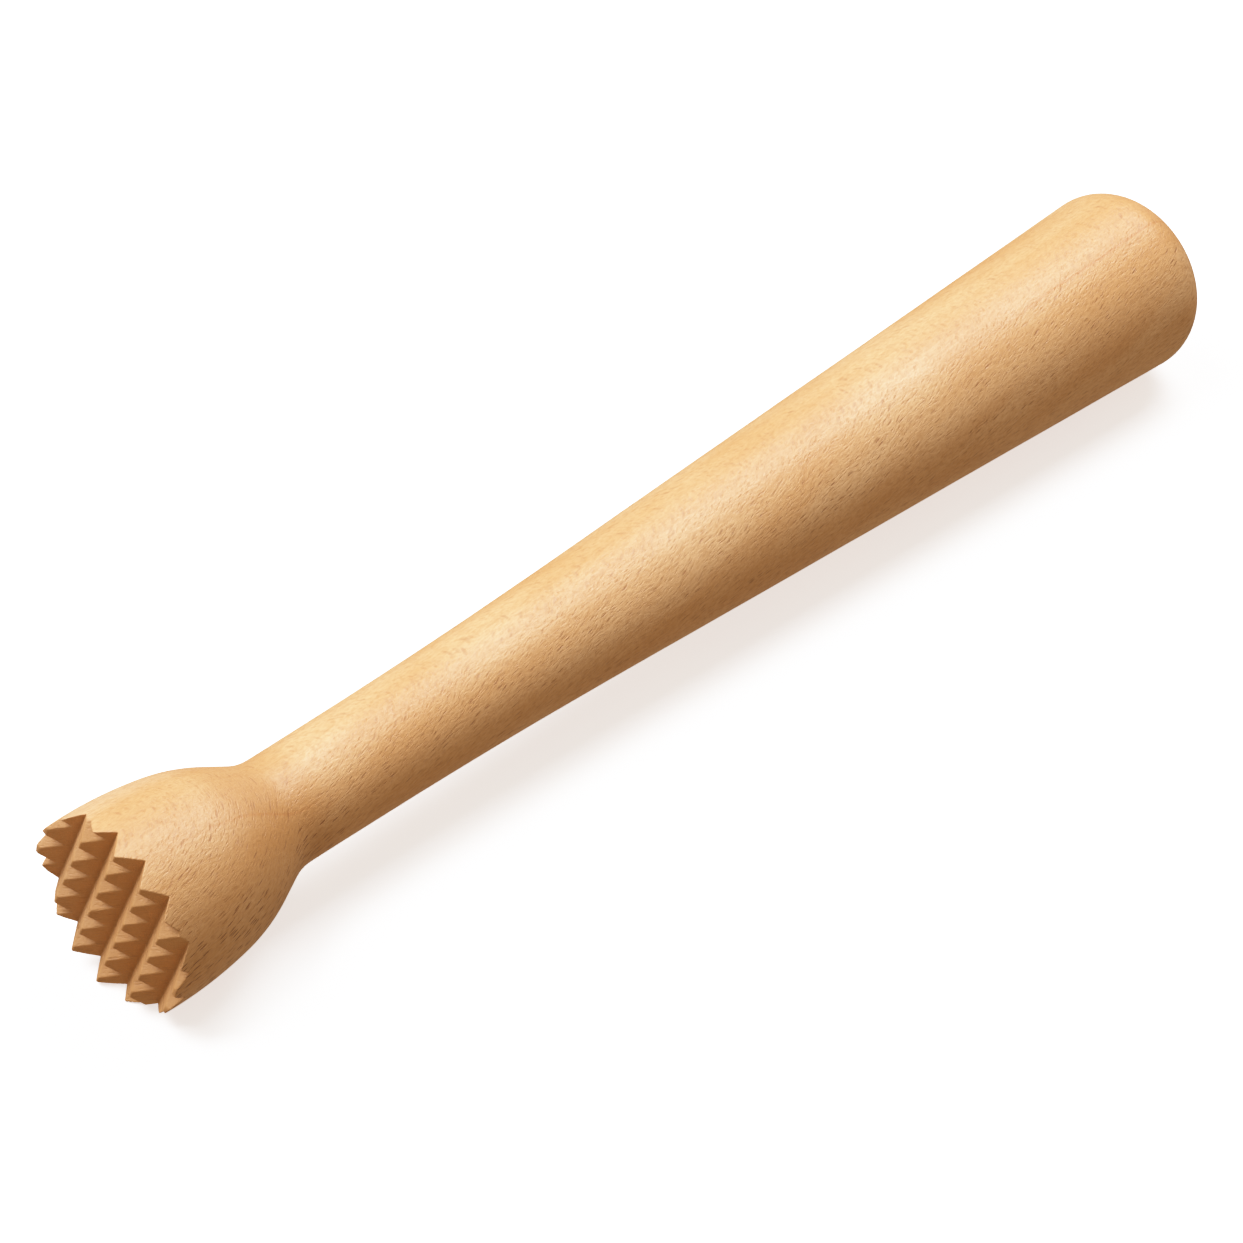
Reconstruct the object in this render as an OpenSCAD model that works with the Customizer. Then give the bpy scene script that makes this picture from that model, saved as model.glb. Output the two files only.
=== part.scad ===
// Stick-form meat mallet in turned beech: a barrel-shaped head with a toothed face, on a long
// handle that flares towards its butt. It lies on its side, as it rests on a worktop.
// X runs along the mallet from the teeth to the butt, Z is up, and the origin is on the
// worktop, half way along.

/* [Overall] */
// Length from the tips of the teeth to the end of the butt
length = 286; // [260:1:320]

/* [Head] */
// Diameter of the head at its widest ring
head_d = 40; // [38:0.5:44]
// Distance from the tips to the widest ring
belly_at = 4; // [4:0.5:8]
// Radius of the long curve along the head's side
belly_r = 88; // [80:1:120]
// Distance from the tips to the start of the shoulder
shoulder_at = 20; // [18:0.5:22]
// Radius of the shoulder's curve
shoulder_r = 39; // [34:1:44]
// Slope of the shoulder where it runs straight, in degrees
shoulder_slope = 27; // [24:1:30]
// Radius of the cove between the shoulder and the neck
cove_r = 12; // [8:1:26]

/* [Teeth] */
// Distance from one tooth to the next, both ways
tooth_pitch = 7.5; // [6.5:0.25:7.75]
// Angle between the two walls of a groove, in degrees
groove_angle = 84; // [70:1:90]
// Width of the flat left on a ridge between two deep grooves
ridge_land = 0.2; // [0.1:0.05:0.6]
// Length of the flat left on a tooth between two cross grooves
tooth_land = 2.1; // [1.2:0.1:3]
// Grooves each way, with one through the middle
groove_count = 5; // [3:2:5]
// How far the deep grooves lean from upright as the mallet lies, in degrees
tooth_turn = 25.3; // [5:0.1:45]

/* [Handle] */
// Diameter of the neck, where the head's cove ends
neck_d = 22.2; // [21:0.1:25]
// Radius of the long curve from the neck into the taper
flare_r = 1700; // [1400:50:2200]
// Diameter of the butt
butt_d = 40; // [36:0.5:44]
// Radius of the butt's rounded edge
butt_round = 9.8; // [6:0.1:9.9]

/* [Neck joint] */
// Diameter of the handle's tenon
tenon_d = 14; // [12:0.5:15]
// Length of the tenon beyond its shoulder
tenon_length = 21; // [18:0.5:23]
// Bevel on the end of the tenon
tenon_bevel = 1; // [0.6:0.1:1.5]
// Glue rings turned into the tenon
glue_rings = 3; // [2:1:4]
// Depth of a glue ring
glue_ring_depth = 0.5; // [0.3:0.1:0.7]
// Gap between the socket's wall and the tenon, all round
socket_clearance = 0.05; // [0.03:0.01:0.1]
// Room left for air and glue beyond the tenon's end
socket_room = 1.5; // [1:0.25:2]
// Point angle of the drill that bored the socket, in degrees
drill_point = 118; // [90:1:140]

/* [Hidden] */

$fn = 180;
beech = "#dcb482";
beech_butt = "#d6ab77";

// Points along an arc from one direction to another, in degrees, without its first point
function arc(centre, radius, from, to, steps) = [
    for (i = [1:steps])
        let (at = from + (to - from) * i / steps)
            centre + radius * [cos(at), sin(at)]
];

// The half profile is worked out in the plane [radius, distance from the tips]. Each curve
// starts where the last one ends and shares its tangent.
belly_centre = [head_d / 2 - belly_r, belly_at];
belly_lead = asin(belly_at / belly_r);
belly_turn = asin((shoulder_at - belly_at) / belly_r);
tips_radius = belly_centre[0] + belly_r * cos(belly_lead);
shoulder_centre = belly_centre + (belly_r - shoulder_r) * [cos(belly_turn), sin(belly_turn)];
shoulder_end = shoulder_centre + shoulder_r * [cos(shoulder_slope), sin(shoulder_slope)];
cove_start_radius = neck_d / 2 + cove_r * (1 - cos(shoulder_slope));
cove_start = [
    cove_start_radius,
    shoulder_end[1] + (shoulder_end[0] - cove_start_radius) / tan(shoulder_slope)
];
neck_at = cove_start[1] + cove_r * sin(shoulder_slope);
cove_centre = [neck_d / 2 + cove_r, neck_at];

flare_centre = [neck_d / 2 + flare_r, neck_at];
round_centre = [butt_d / 2 - butt_round, length - butt_round];
centres_apart = round_centre - flare_centre;
taper = atan2(centres_apart[0], centres_apart[1])
    + asin((flare_r + butt_round) / norm(centres_apart));
round_start = round_centre + butt_round * [cos(taper), -sin(taper)];

half_groove = groove_angle / 2;
groove_depth = (tooth_pitch - ridge_land) / 2 / tan(half_groove);
cross_groove_depth = (tooth_pitch - tooth_land) / 2 / tan(half_groove);

socket_d = tenon_d + 2 * socket_clearance;
socket_depth = tenon_length + socket_room;
glue_ring_gap = tenon_length / (glue_rings + 1);

// How far a cut starts outside the wood, and how far the tenon reaches into the neck
overcut = 1;

// Lays an upright piece, tips down on z = 0, on its side with the tips towards -X
module laid_down() {
    translate([-length / 2, 0, head_d / 2])
        rotate([0, 90, 0])
            children();
}

// Rectangle of the half profile from the axis out to a radius, between two distances
module band(from, to, radius) {
    translate([0, from])
        square([radius, to - from]);
}

// The head's side: the long curve over the widest ring, the shoulder, its straight, the cove
module head_outline() {
    polygon(concat(
        [[0, 0], [tips_radius, 0]],
        arc(belly_centre, belly_r, -belly_lead, 0, 3),
        arc(belly_centre, belly_r, 0, belly_turn, 18),
        arc(shoulder_centre, shoulder_r, belly_turn, shoulder_slope, 20),
        [cove_start],
        arc(cove_centre, cove_r, 180 + shoulder_slope, 180, 24),
        [[0, neck_at]]
    ));
}

module handle_outline() {
    // the neck's long curve, then the straight taper
    polygon(concat(
        [[0, neck_at], [neck_d / 2, neck_at]],
        arc(flare_centre, flare_r, 180, 180 - taper, 24),
        [round_start, [0, round_start[1]]]
    ));
    // the butt's rounded edge and its flat end
    intersection() {
        translate(round_centre)
            circle(r = butt_round);
        band(round_start[1], length, butt_d);
    }
    band(round_start[1], length, round_centre[0]);
}

// One V groove across the face, along x, with its bottom at the given depth
module v_groove(depth) {
    mouth = (depth + overcut) * tan(half_groove);
    rotate([90, 0, 90])
        linear_extrude(height = 2 * head_d, center = true)
            polygon([[-mouth, -overcut], [mouth, -overcut], [0, depth]]);
}

// A set of parallel grooves, one tooth apart, centred on the face
module groove_set(depth) {
    outermost = (groove_count - 1) / 2;
    for (i = [-outermost:outermost])
        translate([0, i * tooth_pitch, 0])
            v_groove(depth);
}

// Blind bore with a drill point, opening at the neck and running towards the teeth
module socket() {
    point_length = socket_d / 2 / tan(drill_point / 2);
    translate([0, 0, neck_at - socket_depth]) {
        cylinder(d = socket_d, h = socket_depth + overcut);
        translate([0, 0, -point_length])
            cylinder(d1 = 0, d2 = socket_d, h = point_length);
    }
}

// Tenon turned on the neck's end, with a bevelled tip and half-round glue rings
module tenon() {
    difference() {
        union() {
            translate([0, 0, neck_at - tenon_length])
                cylinder(d1 = tenon_d - 2 * tenon_bevel, d2 = tenon_d, h = tenon_bevel);
            translate([0, 0, neck_at - tenon_length + tenon_bevel])
                cylinder(d = tenon_d, h = tenon_length - tenon_bevel + overcut);
        }
        for (i = [1:glue_rings])
            translate([0, 0, neck_at - i * glue_ring_gap])
                rotate_extrude()
                    translate([tenon_d / 2, 0])
                        circle(r = glue_ring_depth, $fn = 24);
    }
}

module head() {
    color(beech)
        laid_down()
            difference() {
                rotate_extrude()
                    head_outline();
                rotate([0, 0, tooth_turn])
                    groove_set(groove_depth);
                rotate([0, 0, tooth_turn + 90])
                    groove_set(cross_groove_depth);
                socket();
            }
}

module handle() {
    color(beech_butt)
        laid_down()
            union() {
                rotate_extrude()
                    handle_outline();
                tenon();
            }
}

head();
handle();
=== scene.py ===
"""Stick-form meat mallet in turned beech: a toothed head and a flared handle.

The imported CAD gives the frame. Both wooden pieces are rebuilt here as fine meshes of the same
shape: the teeth are meshed from a distance field so that their edges are slightly worn, and
the turned sides carry the faint unevenness that sanding leaves.
"""

import math

import bpy
import numpy as np
from mathutils import Matrix, Vector


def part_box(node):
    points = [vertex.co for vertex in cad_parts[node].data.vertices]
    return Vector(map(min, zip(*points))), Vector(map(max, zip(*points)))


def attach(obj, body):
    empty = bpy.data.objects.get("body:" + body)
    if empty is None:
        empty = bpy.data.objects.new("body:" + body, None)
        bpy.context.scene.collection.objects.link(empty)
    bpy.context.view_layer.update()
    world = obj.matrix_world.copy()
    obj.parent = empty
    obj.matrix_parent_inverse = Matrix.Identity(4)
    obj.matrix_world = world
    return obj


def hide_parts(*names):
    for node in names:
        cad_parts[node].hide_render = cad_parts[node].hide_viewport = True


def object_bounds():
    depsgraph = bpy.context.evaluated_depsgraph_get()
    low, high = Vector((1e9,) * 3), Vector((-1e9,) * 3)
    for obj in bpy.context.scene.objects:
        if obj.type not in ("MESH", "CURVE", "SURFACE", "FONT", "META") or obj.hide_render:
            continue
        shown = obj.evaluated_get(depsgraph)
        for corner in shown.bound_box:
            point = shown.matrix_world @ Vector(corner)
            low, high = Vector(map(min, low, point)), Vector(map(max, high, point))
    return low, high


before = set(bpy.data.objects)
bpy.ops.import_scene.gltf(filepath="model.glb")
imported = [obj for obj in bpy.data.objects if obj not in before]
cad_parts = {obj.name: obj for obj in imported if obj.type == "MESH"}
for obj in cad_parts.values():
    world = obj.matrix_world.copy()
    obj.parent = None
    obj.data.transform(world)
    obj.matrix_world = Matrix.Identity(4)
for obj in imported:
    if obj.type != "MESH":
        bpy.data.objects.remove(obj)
cad_low, cad_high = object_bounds()

MM = 0.001

# ---------------------------------------------------------------- sizes, in millimetres

HEAD_LOW, HEAD_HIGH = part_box("head")
HANDLE_LOW, HANDLE_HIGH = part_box("handle")
TIPS_X = HEAD_LOW.x / MM
SEAM_AT = (HEAD_HIGH.x - HEAD_LOW.x) / MM
LENGTH = (cad_high.x - cad_low.x) / MM
AXIS_Y = (HEAD_LOW.y + HEAD_HIGH.y) / 2 / MM
AXIS_Z = (HEAD_LOW.z + HEAD_HIGH.z) / 2 / MM
HEAD_R = (HEAD_HIGH.y - HEAD_LOW.y) / 2 / MM
BUTT_R = (HANDLE_HIGH.y - HANDLE_LOW.y) / 2 / MM
TENON_LENGTH = (HEAD_HIGH.x - HANDLE_LOW.x) / MM

# The head's side, in the plane (distance from the tips, radius)
BELLY_AT = 4.0
BELLY_R = 88.0
SHOULDER_AT = 20.0
SHOULDER_R = 39.0
SHOULDER_SLOPE = math.radians(27)
COVE_R = 12.0
NECK_R = 11.1

# Teeth
TOOTH_PITCH = 7.5
HALF_GROOVE = math.radians(42)
RIDGE_LAND = 0.2
TOOTH_LAND = 2.1
OUTERMOST_GROOVE = 2
TOOTH_TURN = math.radians(25.3)

# Wear of the teeth: how far the rim, the grooves' edges and the tips are rounded off, how far
# the tips stand back on average, and how much the tips and the two sets of walls waver
RIM_WEAR = 0.12
CORNER_WEAR = 0.22
TIP_WEAR = 0.035
TIP_WAVER = 0.03
DEEP_WAVER = 0.015
CROSS_WAVER = 0.02

# Handle
FLARE_R = 1700.0
BUTT_ROUND = 9.8

# Neck joint
TENON_R = 7.0
TENON_BEVEL = 1.0
GLUE_RINGS = 3
GLUE_RING_DEPTH = 0.5
SOCKET_R = 7.05
SOCKET_ROOM = 1.5
DRILL_HALF_POINT = math.radians(59)

# Fineness of the meshes. The toothed end is meshed in cells as far as TOOTH_CAP from the tips,
# and everything else in rings of points.
TOOTH_CELL = TOOTH_PITCH / 40
TOOTH_CAP = 6.0
HEAD_SIDE_RINGS = 40
SOCKET_RINGS = 8
DRILL_RINGS = 4
HANDLE_SEGMENTS = 384
HANDLE_RING_STEP = 1.25
BUTT_EDGE_RINGS = 24
BUTT_FLAT_RINGS = 6
GLUE_RING_POINTS = 9
TENON_END_RING_R = 3.0


# ---------------------------------------------------------------- the turned profile


def turned_curves():
    """Centres and joins of the arcs along the side, each tangent to the next."""
    turn = math.asin((SHOULDER_AT - BELLY_AT) / BELLY_R)
    belly = np.array((BELLY_AT, HEAD_R - BELLY_R))
    shoulder = belly + (BELLY_R - SHOULDER_R) * np.array((math.sin(turn), math.cos(turn)))
    shoulder_end = shoulder + SHOULDER_R * np.array(
        (math.sin(SHOULDER_SLOPE), math.cos(SHOULDER_SLOPE))
    )
    flare = np.array((SEAM_AT, NECK_R + FLARE_R))
    butt = np.array((LENGTH - BUTT_ROUND, BUTT_R - BUTT_ROUND))
    apart = butt - flare
    taper = math.atan2(apart[1], apart[0]) + math.asin(
        (FLARE_R + BUTT_ROUND) / math.hypot(*apart)
    )
    return {
        "belly": belly,
        "shoulder": shoulder,
        "shoulder_end": shoulder_end,
        "cove_starts_at": SEAM_AT - COVE_R * math.sin(SHOULDER_SLOPE),
        "cove": np.array((SEAM_AT, NECK_R + COVE_R)),
        "flare": flare,
        "flare_end": flare + FLARE_R * np.array((math.sin(taper), -math.cos(taper))),
        "butt": butt,
        "round_starts_at": butt[0] - BUTT_ROUND * math.sin(taper),
        "taper": taper,
    }


CURVES = turned_curves()


def arc_height(at, centre, radius, side=1):
    """Radius of the turned side at a distance from the tips, on one arc."""
    return centre[1] + side * np.sqrt(np.maximum(radius**2 - (at - centre[0]) ** 2, 0))


def side_radius(at):
    """Radius of the turned side at distances from the tips, without the butt's rounding."""
    at = np.asarray(at, float)
    c = CURVES
    reaches = [
        at <= SHOULDER_AT,
        at <= c["shoulder_end"][0],
        at <= c["cove_starts_at"],
        at <= SEAM_AT,
        at <= c["flare_end"][0],
    ]
    values = [
        arc_height(at, c["belly"], BELLY_R),
        arc_height(at, c["shoulder"], SHOULDER_R),
        c["shoulder_end"][1] - (at - c["shoulder_end"][0]) * math.tan(SHOULDER_SLOPE),
        arc_height(at, c["cove"], COVE_R, -1),
        arc_height(at, c["flare"], FLARE_R, -1),
    ]
    straight = c["flare_end"][1] + (at - c["flare_end"][0]) * math.tan(c["taper"])
    return np.select(reaches, values, straight)


# (ripples along the stick per 100 mm, lobes round it, phase, depth in mm)
UNEVENNESS = (
    (0.9, 2, 0.4, 0.030),
    (2.3, 1, 2.1, 0.016),
    (3.7, 3, 4.4, 0.012),
    (6.1, 2, 1.3, 0.007),
    (9.7, 5, 5.2, 0.004),
)
UNEVEN_DEPTH = sum(wave[3] for wave in UNEVENNESS)
# how far the lobes bend each ripple to and fro along the stick, in radians of its wave
UNEVEN_BEND = 1.3


def sanded_off(at, angle):
    """How much the sandpaper took off the side, in millimetres and never below zero."""
    total = UNEVEN_DEPTH
    for ripples, lobes, phase, depth in UNEVENNESS:
        bend = UNEVEN_BEND * np.sin(lobes * angle + phase)
        total = total + depth * np.sin(at * ripples * math.tau / 100 + phase + bend)
    return total / 2


# ---------------------------------------------------------------- the teeth


def soft_max(a, b, wear):
    """The larger of two distances, with the edge between them rounded off."""
    h = np.maximum(wear - np.abs(a - b), 0) / wear
    return np.maximum(a, b) + h * h * wear / 4


def waver(a, b, u, seed):
    """Smooth random number between -1 and 1 at each point, from a few slanted waves."""
    waves, slowest, quicker, weaker, span = 6, 0.5, 1.6, 1.25, 4
    rng = np.random.default_rng(seed)
    total = 0
    for k in range(waves):
        direction = rng.normal(size=3)
        direction /= np.linalg.norm(direction)
        rate = slowest * quicker**k
        phase = rng.uniform(0, math.tau)
        total = total + np.sin(
            rate * (direction[0] * a + direction[1] * b + direction[2] * u) + phase
        ) / weaker**k
    return total / span


def groove_walls(across, depth_at, land, wander):
    """Distance beyond the walls of a set of V grooves; above zero inside a groove."""
    line = np.clip(np.round(across / TOOTH_PITCH), -OUTERMOST_GROOVE, OUTERMOST_GROOVE)
    from_line = np.abs(across - line * TOOTH_PITCH + wander)
    half_mouth = (TOOTH_PITCH - land) / 2
    return (half_mouth - from_line) * math.cos(HALF_GROOVE) - depth_at * math.sin(HALF_GROOVE)


def tooth_fields(a, b, u):
    """Distance beyond the turned side and beyond the cut faces.

    a is across the deep grooves, b along them and u from the tips, in millimetres.
    """
    angle = np.arctan2(b, a) + TOOTH_TURN
    held = np.minimum(u, TOOTH_CAP)
    radius = np.hypot(a, b) + sanded_off(held, angle)
    side = np.hypot(radius - CURVES["belly"][1], held - CURVES["belly"][0]) - BELLY_R
    tips = TIP_WEAR + TIP_WAVER * waver(a * 2, b * 2, u, seed=5) - u
    deep = groove_walls(a, u, RIDGE_LAND, DEEP_WAVER * waver(a, b, u, seed=3))
    cross = groove_walls(b, u, TOOTH_LAND, CROSS_WAVER * waver(a, b, u, seed=11))
    cut = soft_max(soft_max(deep, cross, CORNER_WEAR), tips, CORNER_WEAR)
    return side, cut


def tooth_distance(a, b, u):
    side, cut = tooth_fields(a, b, u)
    return soft_max(side, cut, RIM_WEAR)


def tooth_nets():
    """Points (a, b, u) and quads of the toothed end, open at TOOTH_CAP.

    Each cell that the surface crosses gives one point, and each grid edge that it crosses
    gives one quad. The last two layers of the grid see the same field, so the open end is
    one plain ring of points, and the third result marks that ring.
    """
    margin, layers_before_tips = 0.5, 3
    reach = math.ceil((HEAD_R + margin) / TOOTH_CELL)
    flat = np.arange(-reach, reach + 1) * TOOTH_CELL
    layers = math.ceil(TOOTH_CAP / TOOTH_CELL)
    tall = TOOTH_CAP + np.arange(-layers - layers_before_tips, 2) * TOOTH_CELL
    a, b, u = np.meshgrid(flat, flat, tall, indexing="ij", sparse=True)
    a, b, u = np.broadcast_arrays(a, b, u)
    f = tooth_distance(a, b, u)
    f = np.where(f == 0, 1e-9, f)
    solid = f < 0
    cells = np.array(f.shape) - 1
    total = np.zeros((*cells, 3))
    count = np.zeros(cells, int)
    around = ((0, 0), (-1, 0), (-1, -1), (0, -1))
    rings = []
    for axis in range(3):
        low = tuple(slice(0, -1) if k == axis else slice(None) for k in range(3))
        high = tuple(slice(1, None) if k == axis else slice(None) for k in range(3))
        edge = np.argwhere(solid[low] != solid[high])
        ahead = edge.copy()
        ahead[:, axis] += 1
        f0, f1 = f[tuple(edge.T)], f[tuple(ahead.T)]
        point = edge.astype(float)
        point[:, axis] += f0 / (f0 - f1)
        side_1, side_2 = (axis + 1) % 3, (axis + 2) % 3
        ring = []
        for d1, d2 in around:
            cell = edge.copy()
            cell[:, side_1] += d1
            cell[:, side_2] += d2
            held = np.all((cell >= 0) & (cell < cells), axis=1)
            np.add.at(total, tuple(cell[held].T), point[held])
            np.add.at(count, tuple(cell[held].T), 1)
            ring.append((cell, held))
        whole = np.all([held for _, held in ring], axis=0)
        quad = np.stack([cell[whole] for cell, _ in ring], axis=1)
        quad[f0[whole] > 0] = quad[f0[whole] > 0][:, ::-1]
        rings.append(quad)
    used = count > 0
    number = np.full(cells, -1)
    number[used] = np.arange(used.sum())
    start = np.array((flat[0], flat[0], tall[0]))
    points = start + total[used] / count[used][:, None] * TOOTH_CELL
    quads = number[tuple(np.moveaxis(np.concatenate(rings), -1, 0))]
    last = np.argwhere(used)[:, 2] == cells[2] - 1
    return points, quads, last


def onto_surface(points, distance):
    """Moves points onto the zero of a distance field by a few Newton steps."""
    rounds, step, least_slope, longest_move = 6, 1e-3, 0.25, 0.1
    for _ in range(rounds):
        f = distance(*points.T)
        slope = np.stack(
            [
                (distance(*(points + shift).T) - distance(*(points - shift).T)) / (2 * step)
                for shift in np.eye(3) * step
            ],
            axis=1,
        )
        size = np.maximum((slope**2).sum(1), least_slope)
        move = slope * (f / size)[:, None]
        points = points - np.clip(move, -longest_move, longest_move)
    return points


# ---------------------------------------------------------------- meshes


def round_points(at, radius, angles):
    """Points in millimetres at distances from the tips and radii, at each angle."""
    return np.stack(
        np.broadcast_arrays(at, radius * np.cos(angles), radius * np.sin(angles)), axis=-1
    )


def plain_rings(rings, angles):
    """Points of true circles, given as (distance from the tips, radius)."""
    at, radius = np.array(rings, float).T
    return round_points(at[:, None], radius[:, None], angles)


def sanded_rings(distances, angles):
    """Points on the turned side at these distances from the tips."""
    at = np.asarray(distances, float)[:, None]
    return round_points(at, side_radius(at) - sanded_off(at, angles), angles)


def band_quads(first, second):
    """Quads between two closed rings of point numbers; they face out from the nearer the tips."""
    return np.stack([first, np.roll(first, -1), np.roll(second, -1), second], axis=1)


def mesh_piece(name, points_mm, quads, fans, sharp_rings, material, cad_node):
    """Object from points along the stick, with its faces, ready in the row frame."""
    points = points_mm + np.array((TIPS_X, AXIS_Y, AXIS_Z))
    mesh = bpy.data.meshes.new(name)
    faces = [tuple(map(int, q)) for q in quads] + [tuple(map(int, t)) for t in fans]
    mesh.from_pydata((points * MM).tolist(), [], faces)
    mesh.validate()
    mesh.polygons.foreach_set("use_smooth", np.ones(len(mesh.polygons), bool))
    ring_of = np.full(len(points), -1)
    for number, ring in enumerate(sharp_rings):
        ring_of[ring] = number
    ends = np.zeros(len(mesh.edges) * 2, int)
    mesh.edges.foreach_get("vertices", ends)
    ends = ring_of[ends.reshape(-1, 2)]
    mesh.edges.foreach_set("use_edge_sharp", (ends[:, 0] == ends[:, 1]) & (ends[:, 0] >= 0))
    mesh.materials.append(material)
    piece = bpy.data.objects.new(name, mesh)
    bpy.context.scene.collection.objects.link(piece)
    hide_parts(cad_node)
    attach(piece, "root")
    return piece


def socket_profile():
    """(distance from the tips, radius) down the socket's wall and its drill point."""
    bottom_at = SEAM_AT - TENON_LENGTH - SOCKET_ROOM
    point_length = SOCKET_R / math.tan(DRILL_HALF_POINT)
    wall = [
        (SEAM_AT + (bottom_at - SEAM_AT) * k / SOCKET_RINGS, SOCKET_R)
        for k in range(SOCKET_RINGS + 1)
    ]
    cone = [
        (bottom_at - point_length * k / DRILL_RINGS, SOCKET_R * (1 - k / DRILL_RINGS))
        for k in range(1, DRILL_RINGS + 1)
    ]
    return wall + cone


def make_head(material):
    points, quads, last = tooth_nets()
    points[~last] = onto_surface(points[~last], tooth_distance)

    # 1 on the cut faces and 0 on the turned side, with a narrow blend between them
    blend = 0.1
    side, cut = tooth_fields(*points.T)
    cut_mask = np.clip((cut - side) / blend + 0.5, 0, 1)

    # the tooth frame is turned about the stick's axis
    cos, sin = math.cos(TOOTH_TURN), math.sin(TOOTH_TURN)
    a, b, u = points.T
    turned = np.stack([u, a * cos - b * sin, a * sin + b * cos], axis=1)

    # the open ring, in order round the stick, and snapped onto the turned side
    ring = np.flatnonzero(last)
    angles = np.arctan2(turned[ring, 2], turned[ring, 1])
    order = np.argsort(angles)
    ring, angles = ring[order], angles[order]
    turned[ring] = sanded_rings([TOOTH_CAP], angles)[0]

    # the side on to the seam, the end face, and the socket down to its drill point
    steps = np.arange(1, HEAD_SIDE_RINGS + 1) / HEAD_SIDE_RINGS
    outside = sanded_rings(TOOTH_CAP + (SEAM_AT - TOOTH_CAP) * steps, angles)
    socket = socket_profile()
    inside = plain_rings(socket[:-1], angles)
    apex = np.array([[socket[-1][0], 0, 0]])

    count = len(ring)
    every = np.concatenate([turned, outside.reshape(-1, 3), inside.reshape(-1, 3), apex])
    numbers = [ring]
    numbers += [
        len(turned) + k * count + np.arange(count)
        for k in range(len(outside) + len(inside))
    ]
    bands = [band_quads(*pair) for pair in zip(numbers, numbers[1:])]
    tip = np.full(count, len(every) - 1)
    fans = np.stack([numbers[-1], np.roll(numbers[-1], -1), tip], axis=1)
    seam, mouth, bottom = len(outside), len(outside) + 1, len(outside) + 1 + SOCKET_RINGS
    head = mesh_piece(
        "mallet_head",
        every,
        np.concatenate([quads, *bands]),
        fans,
        [numbers[seam], numbers[mouth], numbers[bottom]],
        material,
        "head",
    )
    cut_layer = head.data.attributes.new("cut", "FLOAT", "POINT")
    values = np.zeros(len(every), np.float32)
    values[: len(cut_mask)] = cut_mask
    cut_layer.data.foreach_set("value", values)


def tenon_profile():
    """(distance from the tips, radius) from the shoulder to the tenon's end."""
    profile = [(SEAM_AT, TENON_R)]
    gap = TENON_LENGTH / (GLUE_RINGS + 1)
    for k in range(1, GLUE_RINGS + 1):
        profile += [
            (
                SEAM_AT - k * gap + GLUE_RING_DEPTH * math.cos(turn),
                TENON_R - GLUE_RING_DEPTH * math.sin(turn),
            )
            for turn in np.linspace(0, math.pi, GLUE_RING_POINTS)
        ]
    foot = SEAM_AT - TENON_LENGTH
    bevel = [(foot + TENON_BEVEL, TENON_R), (foot, TENON_R - TENON_BEVEL)]
    return profile + bevel + [(foot, TENON_END_RING_R)]


def butt_edge(angles):
    """Rings round the butt's edge; the sanding fades out towards its flat end."""
    butt, first = CURVES["butt"], math.pi / 2 + CURVES["taper"]
    off = sanded_off(CURVES["round_starts_at"], angles)
    turns = first * (1 - np.arange(1, BUTT_EDGE_RINGS + 1) / BUTT_EDGE_RINGS)[:, None]
    at = butt[0] + BUTT_ROUND * np.cos(turns)
    radius = butt[1] + BUTT_ROUND * np.sin(turns) - off * np.sin(turns)
    return round_points(at, radius, angles)


def make_handle(material):
    angles = np.arange(HANDLE_SEGMENTS) * math.tau / HANDLE_SEGMENTS
    start = CURVES["round_starts_at"]
    steps = round((start - SEAM_AT) / HANDLE_RING_STEP)
    side_at = SEAM_AT + (start - SEAM_AT) * np.arange(steps + 1) / steps
    tenon = tenon_profile()
    flat = [
        (LENGTH, CURVES["butt"][1] * k / BUTT_FLAT_RINGS)
        for k in range(BUTT_FLAT_RINGS - 1, 0, -1)
    ]
    inside = plain_rings(tenon[::-1], angles)
    rows = np.concatenate(
        [inside, sanded_rings(side_at, angles), butt_edge(angles), plain_rings(flat, angles)]
    )
    middles = np.array([[LENGTH, 0, 0], [tenon[-1][0], 0, 0]])
    every = np.concatenate([rows.reshape(-1, 3), middles])
    count = HANDLE_SEGMENTS
    numbers = [k * count + np.arange(count) for k in range(len(rows))]
    quads = np.concatenate([band_quads(*pair) for pair in zip(numbers, numbers[1:])])
    back, front = numbers[-1], numbers[0]
    butt_middle, tenon_middle = (np.full(count, len(every) - k) for k in (2, 1))
    fans = np.concatenate(
        [
            np.stack([back, np.roll(back, -1), butt_middle], axis=1),
            np.stack([np.roll(front, -1), front, tenon_middle], axis=1),
        ]
    )
    # the shoulder's rim, and every corner turned on the tenon
    sharp = [numbers[len(inside)]]
    sharp += [
        numbers[len(inside) - 1 - k]
        for k, (_, radius) in enumerate(tenon)
        if radius in (TENON_R, TENON_R - TENON_BEVEL)
    ]
    mesh_piece("mallet_handle", every, quads, fans, sharp, material, "handle")


# ---------------------------------------------------------------- nodes


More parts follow.
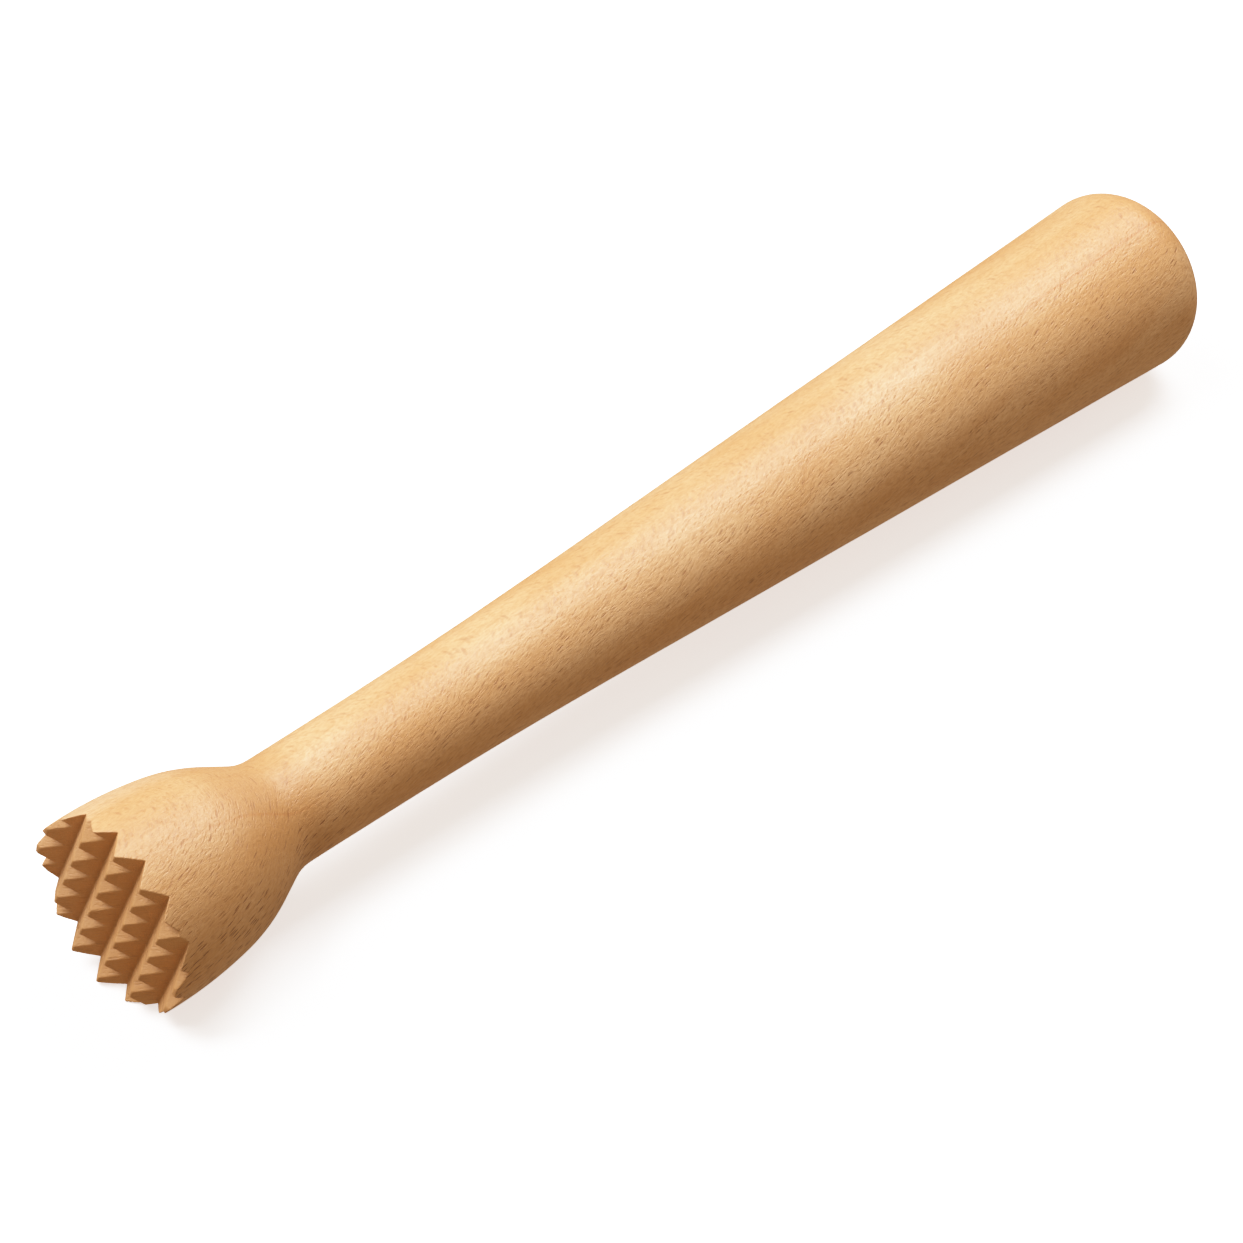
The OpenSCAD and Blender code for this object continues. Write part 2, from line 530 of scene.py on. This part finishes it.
class Nodes:
    """Short calls for the nodes of one material or of the world."""

    def __init__(self, tree):
        self.tree = tree
        self.tree.nodes.clear()

    def add(self, kind, inputs=None, **settings):
        node = self.tree.nodes.new(kind)
        for key, value in settings.items():
            setattr(node, key, value)
        for key, value in (inputs or {}).items():
            self.put(node.inputs[key], value)
        return node

    def put(self, socket, value):
        if isinstance(value, bpy.types.NodeSocket):
            self.tree.links.new(value, socket)
        else:
            socket.default_value = value

    def math(self, operation, a, b=0.0, c=0.0):
        node = self.add("ShaderNodeMath", operation=operation)
        for socket, value in zip(node.inputs, (a, b, c)):
            self.put(socket, value)
        return node.outputs[0]

    def times(self, first, *others):
        for other in others:
            first = self.math("MULTIPLY", first, other)
        return first

    def weighted_sum(self, *terms):
        """Sum of (value, weight) pairs."""
        total = 0.0
        for value, weight in terms:
            total = self.math("MULTIPLY_ADD", value, weight, total)
        return total

    def vector(self, operation, a, b=(0, 0, 0), scale=1.0):
        node = self.add("ShaderNodeVectorMath", operation=operation)
        self.put(node.inputs[0], a)
        if operation == "SCALE":
            self.put(node.inputs["Scale"], scale)
        else:
            self.put(node.inputs[1], b)
        return node.outputs["Value" if operation in ("LENGTH", "DOT_PRODUCT") else "Vector"]

    def split(self, vector):
        return self.add("ShaderNodeSeparateXYZ", {"Vector": vector}).outputs

    def ramp(self, value, low, high, to_low=0.0, to_high=1.0, kind="SMOOTHSTEP"):
        inputs = {
            "Value": value,
            "From Min": low,
            "From Max": high,
            "To Min": to_low,
            "To Max": to_high,
        }
        return self.add("ShaderNodeMapRange", inputs, interpolation_type=kind).outputs["Result"]

    def mix(self, factor, a, b):
        node = self.add("ShaderNodeMix", data_type="RGBA")
        self.put(node.inputs[0], factor)
        self.put(node.inputs[6], a)
        self.put(node.inputs[7], b)
        return node.outputs[2]

    def noise(self, vector, stretch=(1.0, 1.0, 1.0), scale=1.0, detail=2.0, rough=0.5):
        if stretch != (1.0, 1.0, 1.0):
            vector = self.vector("MULTIPLY", vector, stretch)
        inputs = {"Vector": vector, "Scale": scale, "Detail": detail, "Roughness": rough}
        return self.add("ShaderNodeTexNoise", inputs, noise_dimensions="3D").outputs

    def wander(self, vector, scale, detail, reach):
        """Slow random shift, of this reach in millimetres along each axis."""
        colour = self.noise(vector, scale=scale, detail=detail)["Color"]
        return self.vector("MULTIPLY", self.vector("SUBTRACT", colour, (0.5,) * 3), reach)

    def flecks(self, grain, cell, lens, soft):
        """Lens-shaped flecks, one to a cell: how much of a fleck each point is in, and a
        random number for each fleck, both from 0 to 1.

        cell and lens are sizes along the fibre, the radius and across the ray sheets, in mm.
        """
        spot = self.vector("MULTIPLY", grain, tuple(1 / c for c in cell))
        voronoi = self.add(
            "ShaderNodeTexVoronoi",
            {"Vector": spot, "Scale": 1.0, "Randomness": 0.9},
            voronoi_dimensions="3D",
            feature="F1",
        )
        away = self.vector("SUBTRACT", spot, voronoi.outputs["Position"])
        scaled = self.vector("MULTIPLY", away, tuple(c / h for c, h in zip(cell, lens)))
        inside = self.ramp(self.vector("LENGTH", scaled), 1.0, soft)
        pick = self.add("ShaderNodeSeparateColor", {"Color": voronoi.outputs["Color"]})
        return inside, pick.outputs["Red"]


def rgb(red, green, blue):
    """A colour given as it is seen, 0 to 255, as the shader wants it."""

    def straight(c):
        c /= 255
        return c / 12.92 if c <= 0.04045 else ((c + 0.055) / 1.055) ** 2.4

    return (straight(red), straight(green), straight(blue), 1.0)


# ---------------------------------------------------------------- beech

PALE = rgb(231, 184, 132)
DEEP = rgb(217, 163, 107)
SHEEN_CREAM = rgb(233, 198, 161)
LIT_BUTT_GOLD = rgb(217, 153, 87)
RED_BROWN = rgb(184, 125, 64)
BROWN = rgb(142, 85, 41)
VEIN = rgb(192, 122, 60)
SMALL_FLECK = rgb(176, 113, 60)
END_GRAIN = rgb(194, 132, 78)
SAWN = rgb(204, 148, 90)

# The fibres climb towards the butt and lean a little to +Y; the ray sheets lie across `sheet`
FIBRE_CLIMB = math.radians(14.4)
FIBRE_LEAN = math.radians(4)


def grain_frame():
    climb, lean = FIBRE_CLIMB, FIBRE_LEAN
    fibre = Vector(
        (math.cos(climb) * math.cos(lean), math.sin(lean), math.sin(climb) * math.cos(lean))
    )
    sheet = Vector((-math.sin(climb), 0, math.cos(climb)))
    radial = sheet.cross(fibre)
    return Matrix((fibre, radial, sheet))


GRAIN = grain_frame()


def wood_rays(n, grain, flat_on, by_head, z):
    """Ray flecks and finer pits: brown dashes where they come out on the side."""
    rays, strength = n.flecks(grain, (2.4, 3.0, 0.66), (1.35, 1.7, 0.16), soft=0.35)
    rays = n.times(rays, n.ramp(strength, 0.15, 1.0, 0.08, 1.0))
    small, strength = n.flecks(grain, (1.5, 1.4, 0.38), (0.85, 0.8, 0.13), soft=0.3)
    small = n.times(small, n.ramp(strength, 0.0, 0.8, 0.3, 1.0))

    # the rays are fainter seen flat on, bolder here and there, and boldest low on the head
    edge_on = n.ramp(flat_on, 0.60, 0.97, 1.0, 0.45)
    bold = n.noise(grain, (0.06, 0.16, 0.16), detail=1.0)["Fac"]
    low_on_head = n.times(by_head, n.ramp(z, 30, 14), 2.0)
    bold = n.math("ADD", n.ramp(bold, 0.35, 0.65, 0.5, 1.05), low_on_head)
    return n.times(rays, edge_on, bold), small


def year_rings(n, x, y):
    """Late wood of the year rings, and the one ring that shows as a thin dark vein.

    The rings are nearly flat, this far from the tree's heart. The vein shows where the butt
    and the neck cut through it.
    """
    spacing = 4.6
    ring = n.math("ADD", y, n.math("MULTIPLY_ADD", x, -0.0067, 8.05))
    late = n.ramp(n.math("FRACT", n.times(ring, -1 / spacing)), 0.55, 1.0)
    vein = n.ramp(n.math("ABSOLUTE", ring), 0.36, 0.08)
    at_butt = n.ramp(x, 72, 110)
    at_neck = n.times(n.ramp(x, -97, -106), n.ramp(x, -127, -114, 0.15, 0.75))
    return late, n.times(vein, n.math("ADD", at_butt, at_neck))


def patches_and_painted_light(n, grain, x, y, z, along, by_head):
    """The wood's ground colour, paler and deeper from place to place and browner on the
    head's front (-Y) side, with painted light on it: a painted sheen in cream on the head's
    lit back (+Y) side, painted shade in red-brown on the head's sloping shoulder and the cove
    at the neck, and a painted deeper golden tone over the sheen on the lit top of the butt.

    along is x with the grain's bend in it.
    """
    patch = n.noise(grain, (0.02, 0.09, 0.09))["Fac"]
    colour = n.mix(n.ramp(patch, 0.3, 0.7), PALE, DEEP)
    head_front, painted_head_sheen = n.times(by_head, n.ramp(y, 9, -6)), n.times(by_head, n.ramp(y, 3, 11))
    neck = n.times(n.ramp(along, -95, -102), n.ramp(along, -124, -115))
    painted_butt_top_shade = n.times(
        n.ramp(along, 82, 106), n.ramp(z, 30, 34), n.ramp(y, -16, -10), n.ramp(y, 6, 0)
    )
    colour = n.mix(n.times(head_front, 0.3), colour, RED_BROWN)
    # painted sheen: the head's lit back (+Y) side made paler, in cream
    colour = n.mix(n.times(painted_head_sheen, 0.45), colour, SHEEN_CREAM)
    # painted shade: the head's sloping shoulder and the cove at the neck made darker, in
    # red-brown
    colour = n.mix(n.times(neck, 0.36), colour, RED_BROWN)
    # painted shade over the sheen: the lit top of the butt made a deeper gold
    return n.mix(n.times(painted_butt_top_shade, 0.38), colour, LIT_BUTT_GOLD)


def beech(name):
    material = bpy.data.materials.new(name)
    material.use_nodes = True
    n = Nodes(material.node_tree)

    # the place in the row frame and along the grain, both in millimetres
    row_place = n.add("ShaderNodeTexCoord").outputs["Object"]
    place = n.vector("SCALE", row_place, scale=1 / MM)
    grain = n.add(
        "ShaderNodeMapping",
        {"Vector": row_place, "Rotation": GRAIN.to_euler("XYZ"), "Scale": (1 / MM,) * 3},
        vector_type="POINT",
    ).outputs["Vector"]
    x, y, z = n.split(place)
    by_head = n.ramp(x, -93, -107)

    # the grain isn't quite straight
    bend = n.wander(grain, 0.045, 2.0, (0.0, 1.3, 2.2))
    ripple = n.wander(grain, 0.22, 1.0, (0.0, 0.5, 0.6))
    grain = n.vector("ADD", n.vector("ADD", grain, bend), ripple)
    bent_x, bent_y, _ = n.split(n.vector("ADD", place, bend))

    normal = n.add("ShaderNodeNewGeometry").outputs["Normal"]
    flat_on = n.math("ABSOLUTE", n.vector("DOT_PRODUCT", normal, tuple(GRAIN[2])))
    across = n.math("ABSOLUTE", n.vector("DOT_PRODUCT", normal, tuple(GRAIN[0])))

    # fibres, pores and nap are drawn out along the grain
    rays, small = wood_rays(n, grain, flat_on, by_head, z)
    fibre = n.noise(grain, (0.11, 2.6, 2.6), detail=4.0, rough=0.6)["Fac"]
    pores = n.ramp(n.noise(grain, (0.9, 9.0, 9.0))["Fac"], 0.60, 0.78)
    nap = n.noise(grain, (0.75, 2.3, 2.3), detail=3.0, rough=0.6)["Fac"]
    late, vein = year_rings(n, bent_x, bent_y)

    # fibres cut across drink in the light: end grain, and the sawn walls of the teeth
    end = n.ramp(across, 0.45, 1.0)
    cut = n.add("ShaderNodeAttribute", attribute_name="cut").outputs["Fac"]

    colour = patches_and_painted_light(n, grain, x, y, z, bent_x, by_head)
    colour = n.mix(n.ramp(fibre, 0.35, 0.75, 0.0, 0.28), colour, RED_BROWN)
    colour = n.mix(n.ramp(nap, 0.40, 0.70, 0.0, 0.42), colour, RED_BROWN)
    for mark, share, tint in (
        (late, 0.14, RED_BROWN),
        (vein, 0.5, VEIN),
        (pores, 0.16, BROWN),
        (small, 0.32, SMALL_FLECK),
        (rays, 0.8, BROWN),
        (end, 0.35, END_GRAIN),
        (cut, 0.75, SAWN),
    ):
        colour = n.mix(n.times(mark, share), colour, tint)

    rough = n.ramp(fibre, 0.3, 0.8, 0.37, 0.50)
    rough = n.math("ADD", rough, n.weighted_sum((cut, 0.18), (end, 0.08)))
    height = n.weighted_sum(
        (rays, -0.5), (small, -0.7), (pores, -0.35), (fibre, 0.6), (nap, -1.6)
    )
    bump = n.add("ShaderNodeBump", {"Strength": 0.8, "Distance": 0.08 * MM, "Height": height})
    shader = n.add(
        "ShaderNodeBsdfPrincipled",
        {
            "Base Color": colour,
            "Roughness": rough,
            "Normal": bump.outputs["Normal"],
            "IOR": 1.5,
            "Specular IOR Level": 0.55,
        },
    )
    n.add("ShaderNodeOutputMaterial", {"Surface": shader.outputs["BSDF"]})
    return material


make_head(beech("head_beech"))
make_handle(beech("handle_beech"))


# ---------------------------------------------------------------- floor, light and camera


def floor():
    mesh = bpy.data.meshes.new("floor")
    half = 3.0
    mesh.from_pydata(
        [(-half, -half, 0), (half, -half, 0), (half, half, 0), (-half, half, 0)],
        [],
        [(0, 1, 2, 3)],
    )
    material = bpy.data.materials.new("floor_paint")
    material.use_nodes = True
    paint = material.node_tree.nodes["Principled BSDF"].inputs
    paint["Base Color"].default_value = (0.93, 0.93, 0.92, 1)
    paint["Roughness"].default_value = 0.9
    paint["Specular IOR Level"].default_value = 0.2
    # lit from below as well, like a light table, so that the shadow stays pale
    paint["Emission Color"].default_value = (1, 1, 1, 1)
    paint["Emission Strength"].default_value = 0.7
    mesh.materials.append(material)
    plane = bpy.data.objects.new("floor", mesh)
    bpy.context.scene.collection.objects.link(plane)
    # the floor shows and takes shadows, and the world's fill stands in for its bounce
    plane.visible_diffuse = False
    plane.visible_glossy = False


def softbox(name, place, side, power, colour):
    """Square lamp of this side in metres, aimed at the middle of the mallet."""
    light = bpy.data.lights.new(name, "AREA")
    light.shape = "SQUARE"
    light.size = side
    light.energy = power
    light.color = colour
    box = bpy.data.objects.new(name, light)
    box.location = place
    aim = Vector((0, 0, AXIS_Z * MM)) - Vector(place)
    box.rotation_euler = aim.to_track_quat("-Z", "Y").to_euler()
    bpy.context.scene.collection.objects.link(box)


def camera():
    azimuth, elevation, distance = math.radians(-44.26), math.radians(40.76), 0.837
    target = Vector((-0.0192, -0.0058, AXIS_Z * MM))
    back = Vector(
        (
            math.sin(azimuth) * math.cos(elevation),
            -math.cos(azimuth) * math.cos(elevation),
            math.sin(elevation),
        )
    )
    data = bpy.data.cameras.new("camera")
    data.sensor_width = 36
    data.lens = 125
    cam = bpy.data.objects.new("camera", data)
    cam.location = target + back * distance
    cam.rotation_euler = (-back).to_track_quat("-Z", "Y").to_euler()
    bpy.context.scene.collection.objects.link(cam)
    bpy.context.scene.camera = cam


def studio():
    """Warm fill from all round, a little deeper from below. The view past the floor is white."""
    world = bpy.data.worlds.new("studio")
    world.use_nodes = True
    n = Nodes(world.node_tree)
    direction = n.add("ShaderNodeTexCoord").outputs["Generated"]
    height = n.ramp(n.split(direction)["Z"], -0.3, 0.3, kind="LINEAR")
    tone = n.mix(height, (0.95, 0.66, 0.39, 1), (1.00, 0.86, 0.70, 1))
    fill = n.add("ShaderNodeBackground", {"Color": tone, "Strength": 0.45})
    paper = n.add("ShaderNodeBackground", {"Color": (1, 1, 1, 1), "Strength": 1.6})
    seen = n.add("ShaderNodeMixShader")
    n.put(seen.inputs[0], n.add("ShaderNodeLightPath").outputs["Is Camera Ray"])
    n.put(seen.inputs[1], fill.outputs["Background"])
    n.put(seen.inputs[2], paper.outputs["Background"])
    n.add("ShaderNodeOutputWorld", {"Surface": seen.outputs["Shader"]})
    bpy.context.scene.world = world


def film():
    """A soft shoulder, so that the lit wood keeps its colour instead of clipping."""
    look = bpy.context.scene.view_settings
    look.view_transform = "Standard"
    look.use_curve_mapping = True
    curves = look.curve_mapping
    brightest = 1.9
    curves.white_level = (brightest,) * 3
    shoulder = curves.curves[3]
    shoulder.points[0].location = (0.0, 0.0)
    shoulder.points[1].location = (1.0, 1.0)
    for light, shown in ((0.2, 0.2), (0.4, 0.39), (0.75, 0.67), (1.15, 0.88), (1.5, 0.97)):
        shoulder.points.new(light / brightest, shown)
    curves.update()


floor()
camera()
softbox("key", (-0.50, 0.52, 1.20), 0.9, 23.6, (0.98, 1.0, 1.06))
softbox("sheen", (0.75, 0.14, 1.18), 0.75, 15.5, (0.96, 0.99, 1.07))
studio()
film()
